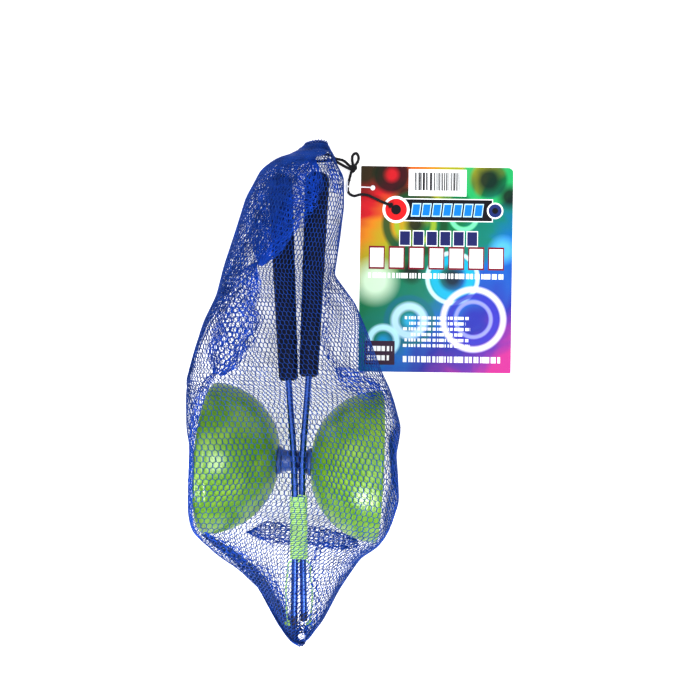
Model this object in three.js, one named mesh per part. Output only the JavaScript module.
// A diabolo set in its net bag, lying flat: rubber diabolo, two handsticks with their string,
// knitted bag with a drawstring, and a printed hang card on a plastic pin.
// Millimetres, +Z up. The origin is on the surface under the middle of the diabolo's axle,
// the axle runs along X, and the bag's mouth points along +Y.
import * as THREE from 'three';

// Diabolo
const DIABOLO_LENGTH = 120;
const DIABOLO_RADIUS = 52.5;
const CUP_WALL = 4.4;
const CUP_SEGMENTS = 28;
const CUP_FLOOR = 18;
const CUP_OUTER_DEPTH = 50;
const CUP_INNER_DEPTH = 41.5;
const BOSS_RADIUS = 15.5;
const COLLAR_RADIUS = 9.8;
const COLLAR_START = 9;
const WAIST_END_RADIUS = 8.2;
const WASHER_RADIUS = 11;
const WASHER_THICKNESS = 1.6;
const NUT_RADIUS = 7.5;
const NUT_THICKNESS = 6.4;
const AXLE_CHAMFER = 0.8;
const HUB_HALF_GAP = 12.2;
const AXLE_RADIUS = 4;
const AXLE_HALF_LENGTH = 29;
const BORE_CLEARANCE = 0.3;
const GAP = 0.3;

// Net bag
const NET_THICKNESS = 1;
const AXLE_HEIGHT = DIABOLO_RADIUS + NET_THICKNESS + GAP;
const BAG_SIDES = 36;
const FLAT_SHARE = 0.06;

// Handsticks
const STICK_LENGTH = 320;
const GRIP_LENGTH = 156;
const GRIP_BUTT_RADIUS = 9.2;
const GRIP_END_RADIUS = 6.85;
const ROD_RADIUS = 2.25;
const ROD_BORE_RADIUS = 1.5;
const STICK_SLOPE = 0.2505;
const WAIST_RADIUS = 7;
const ROD_HEIGHT_AT_HUB = AXLE_HEIGHT + WAIST_RADIUS + ROD_RADIUS + GAP;

// Cords
const STRING_KNOT_RADIUS = 1.5;
const DRAWSTRING_KNOT_RADIUS = 2.4;
const STRING_RADIUS = 0.6;
const WINDING_LENGTH = 42;
const WINDING_WALL = 1.3;
const DRAWSTRING_RADIUS = 1.1;

// Hang card
const CARD_WIDTH = 120;
const CARD_HEIGHT = 162;
const CARD_THICKNESS = 0.6;
const CARD_TURN = THREE.MathUtils.degToRad(2.2);
const CARD_CENTRE = new THREE.Vector3(99, 147, GAP);
const CARD_HOLE = new THREE.Vector2(-50.6, 63.8);
const CARD_HOLE_RADIUS = 2;

const material = (color, roughness, metalness = 0) =>
  new THREE.MeshStandardMaterial({ color, roughness, metalness });

const MATERIALS = {
  cupRubber: material(0x5fb233, 0.45),
  hubPlastic: material(0x1e2f7a, 0.35),
  steel: material(0xb9bcc2, 0.3, 1),
  rodAluminium: material(0x3d5fae, 0.3, 1),
  gripFoam: material(0x0a1440, 0.8),
  capPlastic: material(0x101a4a, 0.5),
  string: material(0x9be07a, 0.8),
  net: material(0x1a48b0, 0.7),
  drawstring: material(0x0c0c0e, 0.8),
  card: material(0xd8405a, 0.3),
  pin: material(0xf4f4f6, 0.4),
};

const set = new THREE.Group();

function addPiece(name, geometry, pieceMaterial) {
  const mesh = new THREE.Mesh(geometry, pieceMaterial);
  mesh.name = name;
  set.add(mesh);
  return mesh;
}

// A solid of revolution from [radius, height] pairs, about local Y.
function turned(profile, segments) {
  const points = profile.map(([radius, height]) => new THREE.Vector2(radius, height));
  return new THREE.LatheGeometry(points, segments);
}

// Lays a turned piece along a direction, with its local origin at a point.
function aim(mesh, origin, direction) {
  mesh.position.copy(origin);
  mesh.quaternion.setFromUnitVectors(new THREE.Vector3(0, 1, 0), direction.clone().normalize());
  return mesh;
}

function circleShape(radius, sides) {
  const shape = new THREE.Shape();
  for (let i = 0; i < sides; i += 1) {
    const angle = (2 * Math.PI * i) / sides;
    const x = radius * Math.cos(angle);
    const y = radius * Math.sin(angle);
    if (i === 0) shape.moveTo(x, y);
    else shape.lineTo(x, y);
  }
  shape.closePath();
  return shape;
}

function cordTube(points, radius, steps, sides = 8) {
  const path = new THREE.CatmullRomCurve3(points.map((p) => new THREE.Vector3(...p)), false, 'centripetal');
  const section = circleShape(radius, sides);
  return new THREE.ExtrudeGeometry(section, { steps, extrudePath: path, bevelEnabled: false });
}

// ---------------------------------------------------------------- diabolo

// The cup wall at a distance d from the rim plane: a half ellipse, a little fuller near the hub.
function cupRadius(d, radius, depth) {
  return radius * Math.sqrt(Math.max(0, 1 - (d / depth) ** 2));
}

function cupProfile() {
  const rim = DIABOLO_LENGTH / 2;
  const outer = [0.3, 5, 11, 18, 25, 32, 38, 43, 46].map((d) => [
    cupRadius(d, DIABOLO_RADIUS, CUP_OUTER_DEPTH), rim - d]);
  const inner = [38.5, 34, 28, 20, 11, 4].map((d) => [
    cupRadius(d, DIABOLO_RADIUS - CUP_WALL, CUP_INNER_DEPTH), rim - d]);
  const bore = AXLE_RADIUS + BORE_CLEARANCE;
  return [
    [bore, HUB_HALF_GAP],
    [BOSS_RADIUS, HUB_HALF_GAP],
    ...outer.reverse(),
    [DIABOLO_RADIUS - 1.2, rim],
    [DIABOLO_RADIUS - CUP_WALL - 1.0, rim],
    ...inner.reverse(),
    [13, CUP_FLOOR],
    [bore, CUP_FLOOR],
    [bore, HUB_HALF_GAP],
  ];
}

function buildDiabolo() {
  const centre = new THREE.Vector3(0, 0, AXLE_HEIGHT);
  const sides = { left: -1, right: 1 };
  const bore = AXLE_RADIUS + BORE_CLEARANCE;
  const nutBore = bore / Math.cos(Math.PI / 6);
  for (const [side, sign] of Object.entries(sides)) {
    const outward = new THREE.Vector3(sign, 0, 0);
    aim(addPiece(`${side}_cup`, turned(cupProfile(), CUP_SEGMENTS), MATERIALS.cupRubber), centre, outward);

    const collarEnd = HUB_HALF_GAP - GAP;
    const collar = [[bore, COLLAR_START], [COLLAR_RADIUS - 1.2, COLLAR_START],
      [COLLAR_RADIUS, COLLAR_START + 1.2], [COLLAR_RADIUS, collarEnd], [bore, collarEnd], [bore, COLLAR_START]];
    aim(addPiece(`${side}_hub_collar`, turned(collar, 24), MATERIALS.hubPlastic), centre, outward);

    const floor = CUP_FLOOR + GAP;
    const washerEnd = floor + WASHER_THICKNESS;
    const washer = [[bore, floor], [WASHER_RADIUS, floor], [WASHER_RADIUS, washerEnd], [bore, washerEnd],
      [bore, floor]];
    aim(addPiece(`${side}_inner_washer`, turned(washer, 24), MATERIALS.steel), centre, outward);

    const nutStart = washerEnd + GAP;
    const nutEnd = nutStart + NUT_THICKNESS;
    const nut = [[nutBore, nutStart], [NUT_RADIUS - 0.7, nutStart], [NUT_RADIUS, nutStart + 0.8],
      [NUT_RADIUS, nutEnd - 0.8], [NUT_RADIUS - 0.7, nutEnd], [nutBore, nutEnd], [nutBore, nutStart]];
    aim(addPiece(`${side}_axle_nut`, turned(nut, 6), MATERIALS.steel), centre, outward);
  }

  const waistEnd = COLLAR_START - GAP;
  const waist = [[bore, -waistEnd], [WAIST_END_RADIUS, -waistEnd], [WAIST_RADIUS + 0.2, 1.3 - waistEnd],
    [WAIST_RADIUS, -5], [WAIST_RADIUS, 5], [WAIST_RADIUS + 0.2, waistEnd - 1.3], [WAIST_END_RADIUS, waistEnd],
    [bore, waistEnd], [bore, -waistEnd]];
  aim(addPiece('hub_spool', turned(waist, 24), MATERIALS.hubPlastic), centre, new THREE.Vector3(1, 0, 0));

  const axleEndRadius = AXLE_RADIUS - AXLE_CHAMFER;
  const shankEnd = AXLE_HALF_LENGTH - AXLE_CHAMFER;
  const axle = [[0, -AXLE_HALF_LENGTH], [axleEndRadius, -AXLE_HALF_LENGTH], [AXLE_RADIUS, -shankEnd],
    [AXLE_RADIUS, shankEnd], [axleEndRadius, AXLE_HALF_LENGTH], [0, AXLE_HALF_LENGTH]];
  aim(addPiece('axle_rod', turned(axle, 16), MATERIALS.steel), centre, new THREE.Vector3(1, 0, 0));
}

// ---------------------------------------------------------------- handsticks

// Each stick's middle line: the grip's rod end, x at the hub and under the winding, and the tube's end.
const STICKS = {
  left: { gripEndX: -7.9, gripEndY: 57, leanX: -0.119, hubX: 0.2, windingX: 4.0, tipX: 7.6, tipY: -98 },
  right: { gripEndX: 6.2, gripEndY: 60.5, leanX: -0.024, hubX: 6.0, windingX: 9.0, tipX: 13.8, tipY: -95.5 },
};
const WINDING_Y = -41;

function stickHeight(y) {
  return ROD_HEIGHT_AT_HUB - y * STICK_SLOPE;
}

function stickPoint(x, y) {
  return new THREE.Vector3(x, y, stickHeight(y));
}

function buildStick(side) {
  const { gripEndX, gripEndY, leanX, hubX, windingX, tipX, tipY } = STICKS[side];
  const gripEnd = stickPoint(gripEndX, gripEndY);
  const toButt = new THREE.Vector3(leanX, 1, -STICK_SLOPE).normalize();
  const butt = gripEnd.clone().addScaledVector(toButt, GRIP_LENGTH);
  const inward = toButt.clone().negate();

  const bore = ROD_RADIUS + BORE_CLEARANCE;
  const grip = [[bore, 0], [GRIP_BUTT_RADIUS - 1, 0], [GRIP_BUTT_RADIUS, 1], [GRIP_BUTT_RADIUS, 10],
    [GRIP_END_RADIUS, GRIP_LENGTH - 1], [GRIP_END_RADIUS - 1, GRIP_LENGTH], [bore, GRIP_LENGTH], [bore, 0]];
  aim(addPiece(`${side}_grip`, turned(grip, 20), MATERIALS.gripFoam), butt, inward);

  const cap = [[0, 2.5], [1.9, 2.5], [1.9, -GAP], [GRIP_BUTT_RADIUS - 1, -GAP], [GRIP_BUTT_RADIUS - 2.4, -1.7],
    [0, -2.2]];
  aim(addPiece(`${side}_grip_cap`, turned(cap.reverse(), 20), MATERIALS.capPlastic), butt, inward);

  const rodStart = butt.clone().addScaledVector(inward, 3);
  const inGrip = [0.35, 0.7].map((share) => rodStart.clone().lerp(gripEnd, share));
  const path = new THREE.CatmullRomCurve3(
    [rodStart, ...inGrip, gripEnd, stickPoint(hubX, 0), stickPoint(windingX, WINDING_Y),
      stickPoint(tipX, tipY)],
    false, 'centripetal');
  const section = circleShape(ROD_RADIUS, 8);
  section.holes.push(circleShape(ROD_BORE_RADIUS, 8));
  const rod = new THREE.ExtrudeGeometry(section, { steps: 16, extrudePath: path, bevelEnabled: false });
  addPiece(`${side}_rod`, rod, MATERIALS.rodAluminium);

  const rodEnd = path.getPoint(1);
  const forward = path.getTangent(1);
  const plugLength = STICK_LENGTH - 3 - path.getLength();
  const plug = [[0, -3], [ROD_BORE_RADIUS - GAP, -3], [ROD_BORE_RADIUS - GAP, GAP], [ROD_RADIUS, GAP],
    [ROD_RADIUS, plugLength - 0.6], [ROD_RADIUS - 0.7, plugLength], [0, plugLength]];
  aim(addPiece(`${side}_rod_tip`, turned(plug, 12), MATERIALS.capPlastic), rodEnd, forward);
}

// ---------------------------------------------------------------- string

function stadium(left, right, radius, sides) {
  const shape = new THREE.Shape();
  for (let i = 0; i <= sides; i += 1) {
    const angle = -Math.PI / 2 + (Math.PI * i) / sides;
    const x = right + radius * Math.cos(angle);
    const y = radius * Math.sin(angle);
    if (i === 0) shape.moveTo(x, y);
    else shape.lineTo(x, y);
  }
  for (let i = 0; i <= sides; i += 1) {
    const angle = Math.PI / 2 + (Math.PI * i) / sides;
    shape.lineTo(left + radius * Math.cos(angle), radius * Math.sin(angle));
  }
  shape.closePath();
  return shape;
}

// The string's loose ends, from the winding's lower edge to the knot at each rod tip.
const STRING_LEADS = {
  left: [[1.9, -62.6, 79.4], [1.2, -70, 80.4], [0.8, -79, 82.2], [1.6, -88, 84.6], [2.9, -96.8, 87.4]],
  right: [[15.3, -62.6, 79.4], [16.2, -70, 80.8], [18.0, -79, 82.0], [18.4, -88, 83.8], [17.7, -96.6, 86.6]],
};
const STRING_KNOTS = { left: [3.6, -99.4, 88.4], right: [17.5, -99.0, 87.8] };

function buildString() {
  const halfSpan = (STICKS.right.windingX - STICKS.left.windingX) / 2;
  const innerRadius = ROD_RADIUS + 0.45;
  const band = stadium(-halfSpan, halfSpan, innerRadius + WINDING_WALL, 8);
  band.holes.push(stadium(-halfSpan, halfSpan, innerRadius, 8));
  const winding = new THREE.ExtrudeGeometry(band, { depth: WINDING_LENGTH, steps: 1, bevelEnabled: false });
  winding.translate(0, 0, -WINDING_LENGTH / 2);
  const across = new THREE.Vector3(1, 0, 0);
  const along = new THREE.Vector3(0.082, -1, STICK_SLOPE).normalize();
  const up = new THREE.Vector3().crossVectors(along, across).normalize();
  const side = new THREE.Vector3().crossVectors(up, along).normalize();
  const mesh = addPiece('string_winding', winding, MATERIALS.string);
  mesh.quaternion.setFromRotationMatrix(new THREE.Matrix4().makeBasis(side, up, along));
  mesh.position.copy(stickPoint((STICKS.left.windingX + STICKS.right.windingX) / 2, WINDING_Y));

  for (const end of ['left', 'right']) {
    addPiece(`string_lead_${end}`, cordTube(STRING_LEADS[end], STRING_RADIUS, 14), MATERIALS.string);
    const ball = new THREE.SphereGeometry(STRING_KNOT_RADIUS, 10, 7);
    const knot = addPiece(`${end}_string_knot`, ball, MATERIALS.string);
    knot.position.set(...STRING_KNOTS[end]);
  }
}

// ---------------------------------------------------------------- net bag

// Sections across the bag from mouth to tip: y, left x, right x, lowest z, highest z, squareness,
// and how far the underside is tucked in, as a share of the half width.
const BAG_SECTIONS = [
  [231, -10, 10.5, 7.5, 20.5, 2, 0],
  [229, -11.5, 11.2, 6.6, 21.6, 2, 0],
  [224.4, -13.2, 12.6, 6, 22.4, 2, 0],
  [219.5, -31, 18.5, 1.5, 30, 2.4, 0],
  [212, -39.5, 23, 0, 31, 3.2, 0],
  [190, -50, 24.3, 0, 34, 3, 0],
  [165, -55.8, 22.6, 0, 38, 3, 0],
  [136, -62.7, 19.8, 0, 44, 3, 0],
  [115, -65.6, 36.8, 0, 52, 2.8, 0.2],
  [95, -72.1, 46.3, 0, 64, 2.8, 0.4],
  [75, -76.2, 54.4, 0, 79, 2.3, 0.4],
  [64, -77, 59.2, 0, 90, 2.3, 0.4],
  [54, -77.6, 64.4, 0, 99, 2.6, 0.4],
  [45, -75.8, 67.7, 0, 106, 3, 0.2],
  [30, -72.1, 72, 0, 110, 4, 0.05],
  [15, -64.8, 68.2, 0, 112.5, 10, 0],
  [0, -63.9, 70, 0, 113, 13, 0],
  [-15, -64.3, 71.6, 0, 112.5, 10, 0],
  [-30, -65, 68.6, 0, 111, 6, 0],
  [-45, -65.8, 65.8, 0, 107, 3.2, 0],
  [-53, -63, 62.6, 1.5, 103, 2.4, 0],
  [-60, -54, 52.5, 5, 100, 2.3, 0],
  [-67, -40.2, 47.3, 9, 98, 2.3, 0],
  [-81, -19, 37.1, 24, 97, 2.4, 0],
  [-98, -5, 27, 46, 98, 2.8, 0],
  [-107, 4.5, 19.5, 60, 97, 2.6, 0],
  [-112.5, 10.8, 15.4, 76, 88, 2, 0],
];

// One closed section, drawn in by the wall thickness; its underside is flat where it meets the surface.
function bagRing([y, xLeft, xRight, zLow, zHigh, squareness, tuck], inset) {
  const halfWidth = (xRight - xLeft) / 2 - inset;
  const middle = (xRight + xLeft) / 2;
  const low = zLow + inset;
  const height = zHigh - zLow - 2 * inset;
  const power = 2 / squareness;
  const ring = [];
  for (let i = 0; i < BAG_SIDES; i += 1) {
    const angle = (2 * Math.PI * (i + 0.5)) / BAG_SIDES;
    const cosine = Math.cos(angle);
    const sine = Math.sin(angle);
    const drawnIn = 1 - tuck * Math.max(0, -sine);
    const across = Math.sign(cosine) * Math.abs(cosine) ** power * drawnIn;
    const share = (1 + Math.sign(sine) * Math.abs(sine) ** power) / 2;
    const rise = Math.max(0, (share - FLAT_SHARE) / (1 - FLAT_SHARE));
    ring.push([middle + halfWidth * across, y, low + height * rise]);
  }
  return ring;
}

function buildBag() {
  const rings = BAG_SECTIONS.map((section) => bagRing(section, 0));
  const inner = BAG_SECTIONS.slice(0, -1).map((section) => bagRing(section, NET_THICKNESS)).reverse();
  rings.push(...inner);
  const positions = rings.flat(2);
  const index = [];
  const outerCount = BAG_SECTIONS.length;
  const quad = (a, b, c, d) => index.push(a, b, c, a, c, d);
  for (let r = 0; r < rings.length; r += 1) {
    const next = (r + 1) % rings.length;
    if (r === outerCount - 1) continue;
    for (let i = 0; i < BAG_SIDES; i += 1) {
      const j = (i + 1) % BAG_SIDES;
      quad(r * BAG_SIDES + i, r * BAG_SIDES + j, next * BAG_SIDES + j, next * BAG_SIDES + i);
    }
  }
  const fan = (ring, flip) => {
    const base = ring * BAG_SIDES;
    for (let i = 1; i < BAG_SIDES - 1; i += 1) {
      if (flip) index.push(base, base + i + 1, base + i);
      else index.push(base, base + i, base + i + 1);
    }
  };
  fan(outerCount - 1, false);
  fan(outerCount, true);
  const geometry = new THREE.BufferGeometry();
  geometry.setAttribute('position', new THREE.Float32BufferAttribute(positions, 3));
  geometry.setIndex(index);
  addPiece('net_bag', geometry, MATERIALS.net);
}

// ---------------------------------------------------------------- drawstring, card and pin

const DRAWSTRING = {
  lead: [[15.8, 227.2, 11.2], [18.6, 227.5, 8.8], [21.5, 227.6, 6.4], [24.2, 226.4, 4.6], [26.2, 224.9, 3.6]],
  bow: [[29.4, 225.4, 3.6], [28.6, 229.5, 3.0], [29.0, 233.4, 2.4], [31.4, 235.0, 2.2], [33.4, 232.6, 2.2],
    [33.2, 228.6, 2.8], [31.6, 225.6, 3.4]],
  tail: [[28.6, 220.2, 3.6], [27.2, 214.0, 2.8], [26.2, 208.2, 2.4], [27.4, 203.4, 2.2], [31.6, 201.4, 2.1],
    [36.2, 202.6, 2.6], [41.5, 202.6, 2.6], [47.5, 200.4, 2.6], [53.5, 197.9, 2.6], [60.5, 195.6, 2.6]],
};
const DRAWSTRING_KNOT = [29.6, 222.6, 3.5];
// The drawn neck: an oval across the bag that stops short of its lower right, where the two ends leave it.
const NECK = { x: -0.6, y: 226.8, z: 14.2, halfWidth: 15.4, halfHeight: 11.2, opening: 0.4, points: 26 };

function buildDrawstring() {
  const ringPoints = [];
  for (let i = 0; i <= NECK.points; i += 1) {
    const angle = NECK.opening / 2 + ((2 * Math.PI - NECK.opening) * i) / NECK.points;
    ringPoints.push([
      NECK.x + NECK.halfWidth * Math.cos(angle), NECK.y, NECK.z + NECK.halfHeight * Math.sin(angle)]);
  }
  addPiece('drawstring_ring', cordTube(ringPoints, DRAWSTRING_RADIUS, 28), MATERIALS.drawstring);
  for (const [name, points] of Object.entries(DRAWSTRING)) {
    const tube = cordTube(points, DRAWSTRING_RADIUS, points.length * 2);
    addPiece(`drawstring_${name}`, tube, MATERIALS.drawstring);
  }
  const ball = new THREE.SphereGeometry(DRAWSTRING_KNOT_RADIUS, 12, 8);
  const knot = addPiece('drawstring_knot', ball, MATERIALS.drawstring);
  knot.position.set(...DRAWSTRING_KNOT);
}

function cardOutline() {
  const halfWidth = CARD_WIDTH / 2;
  const halfHeight = CARD_HEIGHT / 2;
  const corner = 4;
  const shape = new THREE.Shape();
  shape.moveTo(-halfWidth, -halfHeight);
  shape.lineTo(halfWidth, -halfHeight);
  shape.lineTo(halfWidth, halfHeight - corner);
  for (let i = 1; i <= 4; i += 1) {
    const angle = (Math.PI / 2) * (i / 4);
    shape.lineTo(
      halfWidth - corner + corner * Math.cos(angle), halfHeight - corner + corner * Math.sin(angle));
  }
  shape.lineTo(-halfWidth, halfHeight);
  shape.closePath();
  const hole = circleShape(CARD_HOLE_RADIUS, 12);
  shape.holes.push(new THREE.Path(hole.getPoints().map((p) => p.clone().add(CARD_HOLE))));
  return shape;
}

function buildCardAndPin() {
  const geometry = new THREE.ExtrudeGeometry(cardOutline(), { depth: CARD_THICKNESS, bevelEnabled: false });
  const card = addPiece('hang_card', geometry, MATERIALS.card);
  card.position.copy(CARD_CENTRE);
  card.rotation.z = CARD_TURN;

  const hole = new THREE.Vector3(CARD_HOLE.x, CARD_HOLE.y, 0);
  hole.applyAxisAngle(new THREE.Vector3(0, 0, 1), CARD_TURN);
  hole.add(CARD_CENTRE);
  const pinPath = [[hole.x, hole.y, 0.4], [hole.x, hole.y, 1.6], [hole.x - 3, hole.y - 0.4, 3.4],
    [hole.x - 10, hole.y - 1.2, 6.4], [hole.x - 17, hole.y - 1.8, 8.4], [hole.x - 20.4, hole.y - 2, 9.2]];
  addPiece('tag_pin', cordTube(pinPath, 0.5, 12, 6), MATERIALS.pin);
}

buildDiabolo();
buildStick('left');
buildStick('right');
buildString();
buildBag();
buildDrawstring();
buildCardAndPin();

export default set;
